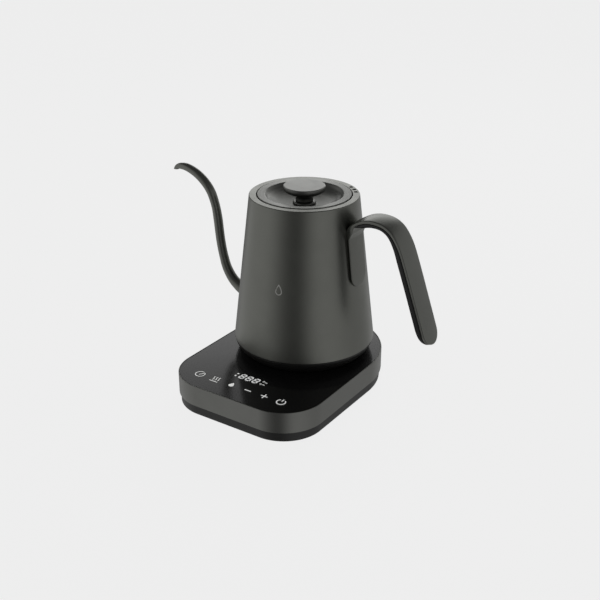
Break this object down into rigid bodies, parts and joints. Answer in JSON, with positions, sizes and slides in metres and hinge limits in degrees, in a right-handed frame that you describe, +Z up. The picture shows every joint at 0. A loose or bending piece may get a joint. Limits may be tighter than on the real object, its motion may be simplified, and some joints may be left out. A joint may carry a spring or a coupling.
{
  "type": "electric gooseneck kettle",
  "caption": "Dark anthracite gooseneck electric kettle with a curved strap handle and lift-off lid, standing on a swivel power base with a black touch panel and display.",
  "frame": {"origin": "on the table, under the centre of the bounding box", "axes": "+X towards the handle, -X towards the spout, -Y towards the control panel, +Z up"},
  "size_m": [0.2635, 0.1806, 0.1722],
  "materials": {
    "body_coating": "satin anthracite coating with a slight metallic sheen",
    "base_coating": "satin anthracite coating",
    "strap_coating": "satin anthracite coating",
    "lid_metal": "satin anthracite coating, spun",
    "knob_metal": "satin, slightly glossier than the vessel",
    "panel_black": "high gloss black with printed and lit white symbols",
    "black_plastic": "fine moulded grain",
    "black_rubber": "matt",
    "silicone": "translucent grey silicone",
    "bright_steel": "stainless steel",
    "contact_brass": "bright brass",
    "spring_bronze": "phosphor bronze",
    "circuit_board": "green solder mask"
  },
  "bodies": {
    "base": {"base_shell": "base_coating", "touch_panel": "panel_black", "base_deck": "black_plastic", "base_bottom_cover": "black_plastic", "foot_1": "black_rubber", "foot_2": "black_rubber", "foot_3": "black_rubber", "foot_4": "black_rubber", "base_screw_1": "bright_steel", "base_screw_2": "bright_steel", "base_screw_3": "bright_steel", "base_screw_4": "bright_steel", "cord_gland": "black_rubber", "base_socket": "black_plastic", "socket_screw_1": "bright_steel", "socket_screw_2": "bright_steel", "socket_screw_3": "bright_steel", "contact_line": "contact_brass", "contact_neutral": "contact_brass", "contact_earth": "contact_brass", "control_board": "circuit_board", "control_board_screw_1": "bright_steel", "control_board_screw_2": "bright_steel", "display_module": "black_plastic", "touch_spring_1": "spring_bronze", "touch_spring_2": "spring_bronze", "touch_spring_3": "spring_bronze", "touch_spring_4": "spring_bronze", "touch_spring_5": "spring_bronze", "touch_spring_6": "spring_bronze", "buzzer": "black_plastic", "power_board": "circuit_board", "power_board_screw_1": "bright_steel", "power_board_screw_2": "bright_steel", "power_relay": "black_plastic", "power_supply": "black_plastic"},
    "coupler": {"kettle_connector": "black_plastic", "connector_pin": "contact_brass", "connector_ring": "contact_brass"},
    "kettle": {"body_shell": "body_coating", "spout": "body_coating", "handle_strap": "strap_coating", "handle_grip": "black_plastic", "heating_plate": "bright_steel", "heating_element": "bright_steel", "thermostat": "bright_steel", "temperature_probe": "bright_steel", "kettle_bottom_cover": "black_plastic", "bottom_screw_1": "bright_steel", "bottom_screw_2": "bright_steel", "bottom_screw_3": "bright_steel"},
    "lid": {"lid_cover": "lid_metal", "lid_inner": "black_plastic", "lid_gasket": "silicone", "knob": "knob_metal", "knob_collar": "knob_metal", "knob_screw": "bright_steel"}
  },
  "joints": [
    {"name": "kettle_lift", "type": "slide", "parent": "base", "child": "coupler", "axis": [0, 0, 1], "range_m": [0, 0.1]},
    {"name": "kettle_swivel", "type": "hinge", "parent": "coupler", "child": "kettle", "pos_m": [0.00735, 0.02145, 0.0316], "axis": [0, 0, 1], "continuous": true},
    {"name": "lid_lift", "type": "slide", "parent": "kettle", "child": "lid", "axis": [0, 0, 1], "range_m": [0, 0.06]}
  ]
}
